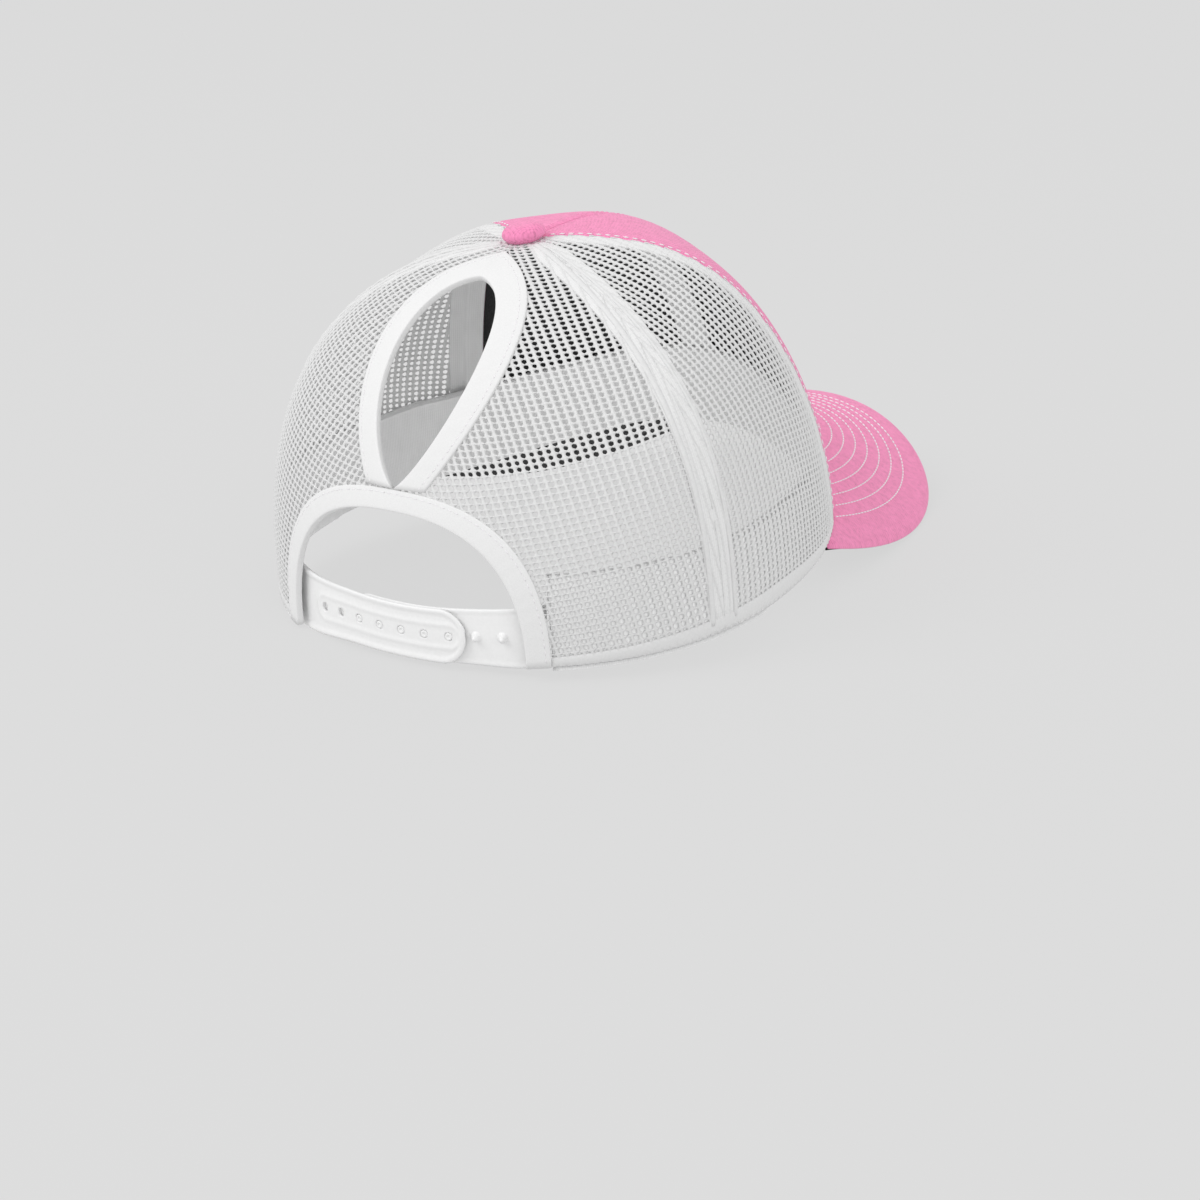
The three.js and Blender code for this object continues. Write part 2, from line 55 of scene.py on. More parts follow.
PANEL_FLATTENING = 0.044
TOP_LEAN = math.radians(6.5)
TOP_SPREAD = 0.13
SAG = 3.3
SAG_ACROSS = (16, 50)
SAG_BACK = (25, 68)
SAG_HEIGHT = 48
FRONT_SEAM = (50.3, 50.5)
SIDE_SEAM = (105.6, 111)
CENTRE_FRONT = (0, 0)
CENTRE_BACK = (180, 180)
PANEL_TOP = 0.975
TAPE_WIDTH = 12.6
TAPE_TOP = 0.95
TAPE_DEPTH = 1.5
TAPE_FAN = math.radians(22)
BAND_HEIGHT = 30
BAND_DEPTH = 3.1
BAND_LIP = 3.4
ARCH_HALF_WIDTH = 45.7
ARCH_HEIGHT = 46.9
ARCH_POWER = 2.2
BINDING_WIDTH = 6.8
TEARDROP_INNER = {"top": 131, "half_width": 16.5, "taper": 0.8, "round": 0.65}
TEARDROP_OUTER = {"foot": 40, "top": 146, "half_width": 25.7, "taper": 1, "round": 0.9}
PEAK_AZIMUTH = math.radians(58.9)
PEAK_LENGTH = 77.8
PEAK_SQUARENESS = 2.59
PEAK_SLOPE = 0.231
PEAK_DROOP = 16.4
PEAK_THICK = 2.6
PEAK_SEAM = 2.4
STRAP_HEIGHT = 18.5
STRAP_BELOW_RIM = 1.7
STRAP_THICK = 1.1
STRAP_TUCK = 5.8
PEG_PITCH = 9
PEGS = 7
FIRST_PEG = -38.5
FIRST_HOLE = -20.5
BUTTON_RADIUS = 7.4
BUTTON_DOME = 4.9
BUTTON_EDGE = 1.8
BUTTON_ROUND = 0.5
GAP = 0.3

# The rim plane is tipped back as the cap rests on a table
REST = Matrix.Translation((0, 55.1984, 12.1029)) @ Matrix.Rotation(-math.radians(5.90534), 4, "X")
HEAD_CENTRE = Vector((0, -10, 40))
SIDES = ((1, "left"), (-1, "right"))
FINE_MERGE = 0.005


def lerp(a, b, share):
    return a + (b - a) * share


def clamp(value, low, high):
    return max(low, min(high, value))


def smoothstep(value, low, high):
    share = clamp((value - low) / (high - low), 0, 1)
    return share * share * (3 - 2 * share)


def bump(distance, width):
    """1 on a line, falling to 0 either side of it."""
    return math.exp(-(distance / width) ** 2)


def ease_ends(share, strength=0.12):
    """Packs the columns of a sheet closer together near both of its edges."""
    return share - strength * math.sin(2 * math.pi * share)


# Crown
def around(azimuth, sizes):
    c = math.cos(azimuth)
    end = sizes["front"] if c > 0 else sizes["back"]
    return sizes["side"] + (end - sizes["side"]) * c * c


def rim_radius(azimuth):
    c = math.cos(azimuth)
    across = abs(math.sin(azimuth)) / RIM_HALF_WIDTH
    along = abs(c) / (RIM_TO_FRONT if c > 0 else RIM_TO_BACK)
    return (across ** RIM_SQUARENESS + along ** RIM_SQUARENESS) ** (-1 / RIM_SQUARENESS)


def rim_height(azimuth):
    return FRONT_RISE * max(math.cos(azimuth), 0) ** FRONT_RISE_POWER


def seam_azimuth(seam, climb):
    return math.radians(lerp(seam[0], seam[1], climb * climb))


def panel_middle(azimuth, climb):
    """0 at a seam and 1 in the middle of a panel."""
    turn = abs(math.atan2(math.sin(azimuth), math.cos(azimuth)))
    edges = [0, seam_azimuth(FRONT_SEAM, climb), seam_azimuth(SIDE_SEAM, climb), math.pi]
    last = 1
    while last < 3 and turn > edges[last]:
        last += 1
    return math.sin(math.pi * (turn - edges[last - 1]) / (edges[last] - edges[last - 1])) ** 2


def crown_face(azimuth, climb):
    """Outer face of the crown, from climb 0 at the rim to 1 at the button."""
    inside = clamp(climb, 0, 1)
    turn = inside * math.pi / 2
    drawn = max(math.cos(turn), 0) ** around(azimuth, CLOSING)
    rise = math.sin(turn) ** around(azimuth, DOMING)
    swell = math.sin(math.pi * inside ** FRONT_SWELL_HEIGHT) ** 2
    low = rim_height(azimuth)
    flattened = 1 - PANEL_FLATTENING * panel_middle(azimuth, climb) * math.sin(turn)
    radius = rim_radius(azimuth) * drawn * flattened
    across = radius * math.sin(azimuth)
    forward = radius * math.cos(azimuth)
    at_button = bump(1 - inside, TOP_SPREAD)
    height = low + (CROWN_HEIGHT - low) * rise + FRONT_SWELL * max(math.cos(azimuth), 0) * swell
    height -= at_button * math.tan(TOP_LEAN) * across
    hanging = smoothstep(across, *SAG_ACROSS) * smoothstep(-forward, *SAG_BACK)
    sag = SAG * hanging * (1 - smoothstep(height, 0, SAG_HEIGHT))
    return Vector((
        across,
        -forward - BUTTON_FORWARD * (1 - drawn),
        height - sag + CROWN_HEIGHT * min(climb, 0),
    ))


def crown_out(azimuth, climb):
    step = 1e-3
    along = crown_face(azimuth + step, climb) - crown_face(azimuth - step, climb)
    up = crown_face(azimuth, climb + step) - crown_face(azimuth, climb - step)
    return along.cross(up).normalized()


def crown_point(azimuth, climb, depth=0.0):
    """A point of a crown layer, its depth measured inwards from the outer face."""
    return crown_face(azimuth, climb) - crown_out(azimuth, climb) * depth


def solve(rising, target, low, high, halvings=26):
    for _ in range(halvings):
        middle = (low + high) / 2
        if rising(middle) < target:
            low = middle
        else:
            high = middle
    return (low + high) / 2


def turn_of(length, azimuth, climb):
    """Angle that a length round the crown takes up."""
    edge = crown_face(azimuth, climb)
    return length / max(math.hypot(edge.x, edge.y + BUTTON_FORWARD), 0.5)


class Meridian:
    """Lengths up the cloth from the rim, along a line of azimuths that depends on the climb."""

    STEPS = 160

    def __init__(self, azimuth_at):
        self.azimuth_at = azimuth_at
        self.lengths = [0.0]
        previous = crown_face(azimuth_at(0), 0)
        for step in range(1, self.STEPS + 1):
            climb = step / self.STEPS
            point = crown_face(azimuth_at(climb), climb)
            self.lengths.append(self.lengths[-1] + (point - previous).length)
            previous = point

    def climb(self, length):
        if length <= 0:
            return length / CROWN_HEIGHT
        low, high = 0, self.STEPS
        while high - low > 1:
            middle = (low + high) // 2
            if self.lengths[middle] < length:
                low = middle
            else:
                high = middle
        share = (length - self.lengths[low]) / (self.lengths[high] - self.lengths[low])
        return min(low + share, self.STEPS) / self.STEPS

    def length(self, climb):
        place = clamp(climb, 0, 1) * self.STEPS
        low = min(int(place), self.STEPS - 1)
        return lerp(self.lengths[low], self.lengths[low + 1], place - low)


centre_back = Meridian(lambda climb: math.pi)


def back_azimuth(across, climb):
    turn = solve(lambda value: crown_face(math.pi - value, climb).x, abs(across), 0, math.pi / 2)
    return math.pi - math.copysign(turn, across)


def back_point(across, length, depth):
    """A point near the centre back: across, up the cloth, and inwards."""
    climb = centre_back.climb(length)
    return crown_point(back_azimuth(across, climb), climb, depth)


# Outlines of the openings, from the inner edge of the binding (0) to its outer edge (1)
def arch_outline(share, out):
    turn = math.pi * share
    power = 2 / ARCH_POWER
    half_width = ARCH_HALF_WIDTH + out * BINDING_WIDTH
    height = ARCH_HEIGHT + out * BINDING_WIDTH
    across = math.copysign(abs(math.cos(turn)) ** power, math.cos(turn))
    return half_width * across, height * max(math.sin(turn), 0) ** power


def teardrop_half_width(drop, share):
    widest = drop["taper"] / (drop["taper"] + drop["round"])
    full = widest ** drop["taper"] * (1 - widest) ** drop["round"]
    inside = clamp(share, 0, 1)
    return drop["half_width"] * inside ** drop["taper"] * (1 - inside) ** drop["round"] / full


TEARDROP_FOOT = ARCH_HEIGHT + BINDING_WIDTH + GAP


def teardrop_edge(climb, out):
    """Half width and length up the back, climb 0 at the foot and 1 at the top."""
    foot, top = TEARDROP_OUTER["foot"], TEARDROP_OUTER["top"]
    outer_share = lerp((TEARDROP_FOOT - foot) / (top - foot), 1, climb)
    inner = max(teardrop_half_width(TEARDROP_INNER, climb), GAP / 2)
    outer = teardrop_half_width(TEARDROP_OUTER, outer_share)
    length = lerp(lerp(TEARDROP_FOOT, TEARDROP_INNER["top"], climb), lerp(foot, top, outer_share), out)
    return lerp(inner, outer, out), length


def teardrop_outline(share, out):
    climb = math.sin(math.pi / 2 * (1 - abs(2 * share - 1)))
    half_width, length = teardrop_edge(climb, out)
    if climb > 1 - 1e-9:
        half_width = 0
    return half_width * (1 if share < 0.5 else -1), length


# Mesh tools
def new_sheet(columns, rows, place):
    """Grid of cloth. place(u, v) gives a point and its flat coordinates, both in millimetres."""
    bm = bmesh.new()
    bmesh.ops.create_grid(bm, x_segments=columns, y_segments=rows, size=1)
    flat = {}
    for vert in bm.verts:
        point, where = place((vert.co.x + 1) / 2, (vert.co.y + 1) / 2)
        vert.co = point
        flat[vert] = where
    layer = bm.loops.layers.uv.new("Flat")
    for face in bm.faces:
        for loop in face.loops:
            loop[layer].uv = flat[loop.vert]
    return bm


def face_away(bm, centre):
    """Turns a sheet's faces away from a point inside it."""
    bm.normal_update()
    if sum((face.calc_center_median() - centre).dot(face.normal) for face in bm.faces) < 0:
        bmesh.ops.reverse_faces(bm, faces=bm.faces[:])


def close_up(bm, distance=0.01):
    """Joins a sheet's meeting edges, fills what stays open, and turns all faces outwards."""
    bmesh.ops.remove_doubles(bm, verts=bm.verts[:], dist=distance)
    bmesh.ops.holes_fill(bm, edges=[edge for edge in bm.edges if edge.is_boundary])
    bmesh.ops.recalc_face_normals(bm, faces=bm.faces[:])


def rest_on_table(bm):
    bmesh.ops.transform(bm, matrix=Matrix.Scale(MM, 4) @ REST, verts=bm.verts)


def add_piece(name, bm, material, nodes=(), wall=0.0, offset=-1.0):
    """Makes the piece, with a wall inwards from its faces where it is a sheet."""
    rest_on_table(bm)
    mesh = bpy.data.meshes.new(name)
    bm.to_mesh(mesh)
    bm.free()
    mesh.shade_smooth()
    mesh.materials.append(material)
    piece = bpy.data.objects.new(name, mesh)
    bpy.context.scene.collection.objects.link(piece)
    if wall:
        solidify = piece.modifiers.new("Wall", "SOLIDIFY")
        solidify.thickness = wall * MM
        solidify.offset = offset
    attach(piece, "root")
    if nodes:
        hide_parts(*nodes)
    return piece


# Materials
class Material:
    """A node material whose pattern reads flat coordinates in millimetres."""

    def __init__(self, name, colour, roughness, sheen=0.0, coat=0.0):
        self.material = bpy.data.materials.new(name)
        self.material.use_nodes = True
        self.nodes = self.material.node_tree.nodes
        self.links = self.material.node_tree.links
        self.shader = self.nodes["Principled BSDF"]
        self.shader.inputs["Base Color"].default_value = (*colour, 1)
        self.shader.inputs["Roughness"].default_value = roughness
        self.shader.inputs["Sheen Weight"].default_value = sheen
        self.shader.inputs["Coat Weight"].default_value = coat
        self.shader.inputs["Specular IOR Level"].default_value = 0.3
        self.height = None

    def flat(self, turn=0.0, stretch=(1, 1, 1)):
        """Flat coordinates, turned and stretched."""
        source = self.nodes.new("ShaderNodeTexCoord")
        mapping = self.nodes.new("ShaderNodeMapping")
        mapping.inputs["Rotation"].default_value = (0, 0, turn)
        mapping.inputs["Scale"].default_value = stretch
        self.links.new(source.outputs["UV"], mapping.inputs["Vector"])
        return mapping.outputs["Vector"]

    def solid(self, scale):
        """The piece's own coordinates, scaled so that 1 is a number of millimetres."""
        source = self.nodes.new("ShaderNodeTexCoord")
        mapping = self.nodes.new("ShaderNodeMapping")
        mapping.inputs["Scale"].default_value = (scale, scale, scale)
        self.links.new(source.outputs["Object"], mapping.inputs["Vector"])
        return mapping.outputs["Vector"]

    def bands(self, vector, pitch, distortion=0.0):
        wave = self.nodes.new("ShaderNodeTexWave")
        wave.inputs["Scale"].default_value = 2 * math.pi / (20 * pitch)
        wave.inputs["Distortion"].default_value = distortion
        self.links.new(vector, wave.inputs["Vector"])
        return wave.outputs["Fac"]

    def noise(self, vector, scale, detail=3.0):
        noise = self.nodes.new("ShaderNodeTexNoise")
        noise.inputs["Scale"].default_value = scale
        noise.inputs["Detail"].default_value = detail
        self.links.new(vector, noise.inputs["Vector"])
        return noise.outputs["Fac"]

    def math(self, operation, first, second):
        node = self.nodes.new("ShaderNodeMath")
        node.operation = operation
        for socket, value in zip(node.inputs, (first, second)):
            if isinstance(value, (int, float)):
                socket.default_value = value
            else:
                self.links.new(value, socket)
        return node.outputs["Value"]

    def colours(self, factor, stops):
        ramp = self.nodes.new("ShaderNodeValToRGB")
        self.links.new(factor, ramp.inputs["Fac"])
        elements = ramp.color_ramp.elements
        while len(elements) < len(stops):
            elements.new(0.5)
        for element, (place, colour) in zip(elements, stops):
            element.position = place
            element.color = (*colour, 1)
        self.links.new(ramp.outputs["Color"], self.shader.inputs["Base Color"])

    def relief(self, height, depth):
        """Surface relief, its depth in millimetres."""
        bump_node = self.nodes.new("ShaderNodeBump")
        bump_node.inputs["Strength"].default_value = 1
        bump_node.inputs["Distance"].default_value = depth * MM
        self.links.new(height, bump_node.inputs["Height"])
        self.links.new(bump_node.outputs["Normal"], self.shader.inputs["Normal"])


def scaled(colour, factor):
    return tuple(min(c * factor, 1) for c in colour)


def twill(name, colour, pitch=0.7, depth=0.05, sheen=0.15):
    """Cotton twill: fine diagonal ribs, slightly uneven in colour."""
    m = Material(name, colour, 0.82, sheen)
    ribs = m.bands(m.flat(math.radians(32)), pitch, 1.8)
    threads = m.bands(m.flat(math.radians(-58)), pitch * 1.7, 2.0)
    patches = m.noise(m.flat(), 0.35)
    slubs = m.noise(m.flat(math.radians(32), (1, 2.2, 1)), 1.1, 2.0)
    weave = m.math("ADD", ribs, m.math("MULTIPLY", threads, 0.5))
    uneven = m.math("ADD", m.math("MULTIPLY", patches, 0.35), m.math("MULTIPLY", slubs, 0.6))
    shade = m.math("ADD", m.math("MULTIPLY", weave, 0.12), uneven)
    m.colours(shade, ((0.38, scaled(colour, 0.72)), (0.55, colour), (0.74, scaled(colour, 1.2))))
    m.relief(weave, depth)
    return m.material


def ribbed(name, colour, pitch, depth, roughness=0.8):
    """Woven tape: fine ribs along it, with a faint cross weave."""
    m = Material(name, colour, roughness, 0.1)
    ribs = m.bands(m.flat(), pitch, 0.3)
    cross = m.bands(m.flat(math.pi / 2), pitch * 1.4, 1.0)
    patches = m.noise(m.flat(stretch=(1, 0.3, 1)), 0.25)
    weave = m.math("ADD", ribs, m.math("MULTIPLY", cross, 0.35))
    shade = m.math("ADD", m.math("MULTIPLY", weave, 0.25), m.math("MULTIPLY", patches, 0.7))
    m.colours(shade, ((0.1, scaled(colour, 0.9)), (0.55, colour), (0.95, scaled(colour, 1.06))))
    m.relief(weave, depth)
    return m.material


def fibres(name, colour, roughness, scale, depth):
    """Plain spun or knitted yarn, from noise on the piece's own coordinates."""
    m = Material(name, colour, roughness, 0.1)
    grain = m.noise(m.solid(scale), 1.0, 4.0)
    m.colours(grain, ((0.25, scaled(colour, 0.95)), (0.75, scaled(colour, 1.03))))
    m.relief(grain, depth)
    return m.material


def moulded(name, colour):
    """Satin moulded plastic."""
    m = Material(name, colour, 0.34)
    m.shader.inputs["Specular IOR Level"].default_value = 0.5
    m.shader.inputs["Subsurface Weight"].default_value = 0.15
    m.shader.inputs["Subsurface Radius"].default_value = (0.002, 0.002, 0.002)
    grain = m.noise(m.solid(900), 1.0, 2.0)
    m.colours(grain, ((0.3, scaled(colour, 0.97)), (0.7, colour)))
    m.relief(grain, 0.02)
    return m.material


PINK = (0.87, 0.262, 0.48)
WHITE = (0.88, 0.88, 0.88)
pink_twill = twill("pink_twill", PINK)
black_cloth = twill("black_lining", (0.02, 0.02, 0.021), 0.7, 0.06, 0.05)
mesh_yarn = fibres("white_mesh", (0.74, 0.74, 0.74), 0.6, 1400, 0.05)
seam_tape = ribbed("seam_tape", (0.80, 0.80, 0.80), 0.8, 0.05)
band_cloth = ribbed("sweatband_cloth", (0.91, 0.91, 0.91), 0.9, 0.06)
binding_cloth = fibres("binding_cloth", (0.80, 0.80, 0.80), 0.75, 2600, 0.01)
white_thread = fibres("white_thread", (0.90, 0.88, 0.90), 0.6, 2500, 0.04)
pink_thread = fibres("pink_thread", (0.95, 0.36, 0.6), 0.6, 2500, 0.04)
black_thread = fibres("black_thread", (0.03, 0.03, 0.032), 0.6, 2500, 0.04)
strap_plastic = moulded("strap_plastic", WHITE)


# Front panels: twill with a valley along each seam
PANEL_COLUMNS = 52
PANEL_ROWS = 44
SEAM_VALLEY = 0.55
SEAM_VALLEY_WIDTH = 1.1
TWILL_WALL = 1.0
LINING_COLUMNS = 24
LINING_CLIMB_ROWS = 36
LINING_WALL = 0.8


def front_panel(side, word):
    middle_line = Meridian(lambda climb: seam_azimuth(FRONT_SEAM, climb) / 2)

    def place(u, v):
        climb = PANEL_TOP * v
        end = seam_azimuth(FRONT_SEAM, climb)
        edge = turn_of(GAP / 2, end / 2, climb)
        azimuth = lerp(edge, end - edge, ease_ends(u))
        across = (azimuth - end / 2) / turn_of(1, end / 2, climb)
        from_seam = min(azimuth, end - azimuth) / turn_of(1, azimuth, climb)
        depth = SEAM_VALLEY * bump(from_seam, SEAM_VALLEY_WIDTH)
        point = crown_point(side * azimuth, climb, depth)
        return point, (across * side, middle_line.length(climb))

    bm = new_sheet(PANEL_COLUMNS, PANEL_ROWS, place)
    face_away(bm, HEAD_CENTRE)
    add_piece(f"twill_panel_{word}", bm, pink_twill, [f"front_panel_{word}"], TWILL_WALL)


# Lining behind the front panels
def front_lining(side, word):
    middle_line = Meridian(lambda climb: seam_azimuth(FRONT_SEAM, climb) / 2)

    def place(u, v):
        climb = TAPE_TOP * v
        end = seam_azimuth(FRONT_SEAM, climb)
        last = end - min(turn_of(TAPE_WIDTH / 2 + GAP, end, climb), TAPE_FAN)
        azimuth = lerp(turn_of(GAP / 2, 0, climb), max(last, 0.02), u)
        across = (azimuth - end / 2) / turn_of(1, end / 2, climb)
        return crown_point(side * azimuth, climb, TAPE_DEPTH), (across * side, middle_line.length(climb))

    bm = new_sheet(LINING_COLUMNS, LINING_CLIMB_ROWS, place)
    face_away(bm, HEAD_CENTRE)
    add_piece(f"lining_{word}", bm, black_cloth, [f"front_lining_{word}"], LINING_WALL)


# Mesh panels: a lattice of holes between thick threads up the panel and thin, sunken ones across
COLUMN_PITCH = 2.75
ROW_PITCH = 2.06
HOLE_HALF_WIDTH = 0.8
HOLE_HALF_HEIGHT = 0.8
HOLE_UNEVEN = 0.07
THREAD_SWAY = 0.1
BRIDGE_DIP = 0.3
THREAD_ROUND = 0.3
MESH_WALL = 0.42
SIDE_COLUMNS = 44
BACK_COLUMNS = 56
BACK_LEAN = 0.27
LEAN_FROM = 50
UNDER_BINDING = 3.2

teardrop_cut = [teardrop_edge(step / 80, UNDER_BINDING / BINDING_WIDTH) for step in range(81)]


def in_opening(azimuth, climb):
    """Whether a point of the back lies inside the cut edge of the arch or the teardrop."""
    across = abs(crown_face(azimuth, climb).x)
    length = centre_back.length(climb)
    wide = ARCH_HALF_WIDTH + UNDER_BINDING
    high = ARCH_HEIGHT + UNDER_BINDING
    if (across / wide) ** ARCH_POWER + (length / high) ** ARCH_POWER < 1:
        return True
    for (width, low), (next_width, top) in zip(teardrop_cut, teardrop_cut[1:]):
        if low <= length < top:
            return across < lerp(width, next_width, (length - low) / (top - low))
    return TEARDROP_FOOT - 1 < length <= TEARDROP_FOOT and across < UNDER_BINDING


def lattice(columns, rows):
    """Flat grid of cells, with the middles of the threads across set lower."""
    bm = bmesh.new()
    bmesh.ops.create_grid(bm, x_segments=columns, y_segments=rows, size=1)
    for vert in bm.verts:
        column = (vert.co.x + 1) / 2 * columns
        row = round((vert.co.y + 1) / 2 * rows)
        sway = THREAD_SWAY if row % 2 else -THREAD_SWAY
        vert.co = ((column - columns / 2) * COLUMN_PITCH + sway, row * ROW_PITCH, 0)
    for edge in bm.edges[:]:
        across = abs(edge.verts[0].co.y - edge.verts[1].co.y) < ROW_PITCH / 2
        _, middle = bmesh.utils.edge_split(edge, edge.verts[0], 0.5)
        if across:
            middle.co.z = -BRIDGE_DIP
    return bm


def cut_holes(bm):
    """Makes a round hole in each cell, its rim set lower than the threads."""
    cells = bm.faces[:]
    bmesh.ops.inset_individual(bm, faces=cells, thickness=0.2)
    for cell in cells:
        centre = cell.calc_center_median()
        column = math.floor(centre.x / COLUMN_PITCH)
        size = 1 + HOLE_UNEVEN * (1 if column % 2 else -1)
        for vert in cell.verts:
            out = Vector((vert.co.x - centre.x, vert.co.y - centre.y)).normalized()
            vert.co = (
                centre.x + out.x * HOLE_HALF_WIDTH * size,
                centre.y + out.y * HOLE_HALF_HEIGHT * size,
                -THREAD_ROUND - BRIDGE_DIP * out.y ** 2,
            )
    bmesh.ops.delete(bm, geom=cells, context="FACES_ONLY")


def mesh_panel(name, side, low_seam, high_seam, columns, node, lean=0.0, is_open=None):
    def middle(climb):
        return (seam_azimuth(low_seam, climb) + seam_azimuth(high_seam, climb)) / 2

    middle_line = Meridian(middle)
    rows = math.ceil(middle_line.length(PANEL_TOP) / ROW_PITCH)

    def on_crown(flat):
        climb = middle_line.climb(flat.y)
        leaning = flat.x + lean * (flat.y - LEAN_FROM)
        azimuth = middle(climb) + leaning * turn_of(1, middle(climb), climb)
        return azimuth, climb

    def margin(climb, seam):
        return turn_of(GAP / 2, seam_azimuth(seam, climb), climb)

    bm = lattice(columns, rows)
    outside = []
    for face in bm.faces:
        azimuth, climb = on_crown(face.calc_center_median())
        low = seam_azimuth(low_seam, climb)
        high = seam_azimuth(high_seam, climb)
        if not low < azimuth < high or climb > PANEL_TOP or (is_open and is_open(azimuth, climb)):
            outside.append(face)
    bmesh.ops.delete(bm, geom=outside, context="FACES")
    cut_holes(bm)
    for vert in bm.verts:
        azimuth, climb = on_crown(vert.co)
        climb = clamp(climb, 0, PANEL_TOP)
        low = seam_azimuth(low_seam, climb) + margin(climb, low_seam)
        high = seam_azimuth(high_seam, climb) - margin(climb, high_seam)
        azimuth = clamp(azimuth, low, max(low, high))
        vert.co = crown_point(side * azimuth, climb, -vert.co.z)
    bmesh.ops.dissolve_degenerate(bm, dist=0.01, edges=bm.edges[:])
    face_away(bm, HEAD_CENTRE)
    add_piece(name, bm, mesh_yarn, [node], MESH_WALL)


# Bindings: a band of cloth folded over the edge of the mesh
BINDING_OUT = 1.1
BINDING_IN = 1.5
SECTION_STEPS = 28
ARCH_STATIONS = 110
TEARDROP_STATIONS = 150


def binding_section(share):
    """Out from the inner edge (0 to 1) and depth, once round a flat section with a full fold."""
    turn = 2 * math.pi * share
    middle = (BINDING_IN - BINDING_OUT) / 2
    half = (BINDING_IN + BINDING_OUT) / 2
    c, s = math.cos(turn), math.sin(turn)
    out = 0.5 - 0.5 * math.copysign(abs(c) ** 0.3, c)
    return out, middle - half * math.copysign(abs(s) ** 0.3, s) * (1 - 0.3 * out)


def binding_piece(name, outline, stations, node):
    def place(u, v):
        out, depth = binding_section(u)
        across, length = outline(v, out)
        ripple = 0.07 * math.sin(v * stations * 1.9) * math.sin(math.pi * out)
        return back_point(across, length, depth + ripple), (u * 20, v * 250)

    bm = new_sheet(SECTION_STEPS, stations, place)
    close_up(bm)
    add_piece(name, bm, binding_cloth, [node])


# Tapes over the seams, and the sweatband, inside
TAPE_IN_MESH = 0.22
TAPE_IN_FRONT = 1.2
TAPE_WALL = 0.85
CENTRE_TAPE_WALL = 0.7
CENTRE_TAPE_CURL = 0.25
TAPE_COLUMNS = 24
TAPE_ROWS = 60


def behind_mesh(out):
    """A tape lies among the inner threads of the mesh."""
    return TAPE_IN_MESH


def behind_front(out):
    """The front seam's tape lies deeper behind the twill than behind the mesh."""
    return lerp(TAPE_IN_FRONT, TAPE_IN_MESH, smoothstep(out, -0.05, 0.08))


def behind_lining(out):
    """The centre front's tape lies behind both linings, its edges a little deeper."""
    return BAND_DEPTH + CENTRE_TAPE_CURL * out * out


def tape_piece(name, seam, side, depth, first, node, wall=TAPE_WALL):
    seam_length = Meridian(lambda climb: seam_azimuth(seam, climb)).length

    def place(u, v):
        climb = lerp(first, TAPE_TOP, v)
        middle = seam_azimuth(seam, climb)
        half = min(turn_of(TAPE_WIDTH / 2, middle, climb), TAPE_FAN)
        out = 2 * u - 1
        point = crown_point(side * (middle + out * half), climb, depth(out))
        return point, (out * TAPE_WIDTH / 2, seam_length(climb))

    bm = new_sheet(TAPE_COLUMNS, TAPE_ROWS, place)
    face_away(bm, HEAD_CENTRE)
    add_piece(name, bm, seam_tape, [node], wall)


BAND_WALL = 2.1
BAND_FOOT = 0.6
BAND_COLUMNS = 180
BAND_ROWS = 34
BAND_ROLL = 0.5
BAND_HALF_LENGTH = 270
BEHIND_LINING = 2.4
BEHIND_TAPE = 0.75


def band_front(azimuth):
    """The sweatband lies deeper behind the lined front than behind the mesh."""
    past_front = smoothstep(abs(azimuth), math.radians(55), math.radians(64))
    return lerp(BEHIND_LINING, BEHIND_TAPE, past_front)


def sweatband():
    legs = back_azimuth(ARCH_HALF_WIDTH + BINDING_WIDTH + GAP, 0)
    lip_share = 0.12

    def place(u, v):
        azimuth = lerp(-legs, legs, u)
        around_rim = (2 * u - 1) * BAND_HALF_LENGTH
        lip = BAND_LIP * max(math.cos(azimuth), 0)
        above_lip = max(v - lip_share, 0) / (1 - lip_share)
        height = lerp(BAND_FOOT, BAND_HEIGHT, above_lip)
        climb = solve(lambda value: crown_face(azimuth, value).z, crown_face(azimuth, 0).z + height, 0, 0.6)
        climb -= lip / CROWN_HEIGHT * max(1 - v / lip_share, 0)
        rolled = BAND_ROLL * bump(BAND_HEIGHT - height, 0.8)
        return crown_point(azimuth, climb, band_front(azimuth) + rolled), (around_rim, height)

    bm = new_sheet(BAND_COLUMNS, BAND_ROWS, place)
    face_away(bm, HEAD_CENTRE)
    add_piece("sweatband_cloth", bm, band_cloth, ["sweatband"], BAND_WALL)


# Peak: the upper cloth wraps round the edge, and meets the lower cloth on it
EDGE_RADIUS = PEAK_THICK / 2
STITCH_ROWS = 8
OUTER_ROW = 9.0
ROW_SPACING = 4.2
ROW_DEPTH = 0.3
PEAK_COLUMNS = 120
PEAK_ROWS = 124
EDGE_ROWS = 8
LINING_ROWS = 110
EDGE_SEAM = math.radians(115)
PEAK_CLOTH_WALL = 0.7
ABOVE_PEAK = Vector((0, -150, 400))
BELOW_PEAK = Vector((0, -150, -60))

peak_corner = crown_face(PEAK_AZIMUTH, 0)
peak_reach = RIM_TO_FRONT + PEAK_LENGTH + peak_corner.y


def peak_outline(turn, inset):
    """A point of the peak's outline, moved in from its edge."""
    power = 2 / PEAK_SQUARENESS
    across = math.copysign(abs(math.sin(turn)) ** power, turn)
    along = max(math.cos(turn), 0) ** power
    return (peak_corner.x - inset) * across, peak_corner.y - (peak_reach - inset) * along


def inset_at(x, y):
    """How far in from the edge of the peak a point lies."""
    def outside(inset):
        across = abs(x) / max(peak_corner.x - inset, 1)
        along = max(peak_corner.y - y, 0) / max(peak_reach - inset, 1)
        return across ** PEAK_SQUARENESS + along ** PEAK_SQUARENESS
    return solve(outside, 1, 0, peak_corner.x - 2, 18)


